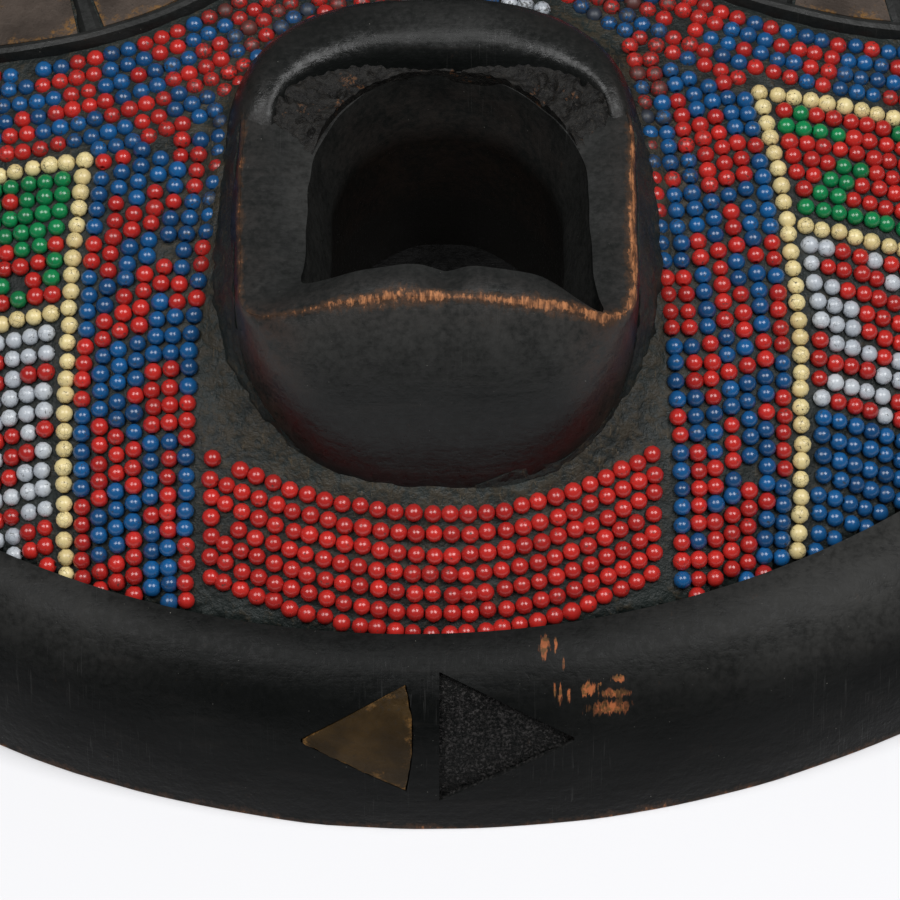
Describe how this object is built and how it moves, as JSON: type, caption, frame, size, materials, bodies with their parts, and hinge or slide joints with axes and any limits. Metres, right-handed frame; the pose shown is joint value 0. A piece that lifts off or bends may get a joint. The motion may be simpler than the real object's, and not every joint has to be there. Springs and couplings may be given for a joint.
{
  "type": "beaded african mask",
  "caption": "Round carved wooden face mask with an open mouth, domed eyes ringed by brass plates and a face covered in rows of glass beads.",
  "frame": {"origin": "middle of the flat back edge, which the mask lies on", "axes": "+Z the way the face looks, +Y towards the forehead, +X to the right of one who looks at the face"},
  "size_m": [0.456, 0.464, 0.1179],
  "materials": {
    "wood": "satin",
    "brass": "satin",
    "mastic": "matte",
    "red_beads": "gloss",
    "blue_beads": "gloss",
    "cream_beads": "gloss",
    "green_beads": "gloss",
    "white_beads": "gloss"
  },
  "bodies": {
    "root": {"mask_body": "wood", "chin_triangle": "brass", "eye_plate_left_01": "brass", "eye_plate_left_02": "brass", "eye_plate_left_03": "brass", "eye_plate_left_04": "brass", "eye_plate_left_05": "brass", "eye_plate_left_06": "brass", "eye_plate_left_07": "brass", "eye_plate_left_08": "brass", "eye_plate_left_09": "brass", "eye_plate_left_10": "brass", "eye_plate_left_11": "brass", "eye_plate_left_12": "brass", "eye_plate_left_13": "brass", "eye_plate_left_14": "brass", "eye_plate_right_01": "brass", "eye_plate_right_02": "brass", "eye_plate_right_03": "brass", "eye_plate_right_04": "brass", "eye_plate_right_05": "brass", "eye_plate_right_06": "brass", "eye_plate_right_07": "brass", "eye_plate_right_08": "brass", "eye_plate_right_09": "brass", "eye_plate_right_10": "brass", "eye_plate_right_11": "brass", "eye_plate_right_12": "brass", "eye_plate_right_13": "brass", "eye_plate_right_14": "brass", "chin_beads": "red_beads", "mouth_strings_left": "red_beads", "mouth_strings_right": "red_beads", "forehead_beads": "red_beads", "under_eye_beads_left": "blue_beads", "under_eye_beads_right": "blue_beads", "jaw_blue_right": "blue_beads", "crown_beads": "blue_beads", "crown_line": "cream_beads", "cream_column_left": "cream_beads", "cream_column_right": "cream_beads", "upper_line_left": "cream_beads", "upper_line_right": "cream_beads", "lower_line_left": "cream_beads", "lower_line_right": "cream_beads", "cheek_green_left": "green_beads", "cheek_green_right": "green_beads", "cheek_white_left": "white_beads", "cheek_white_right": "white_beads"}
  },
  "joints": []
}
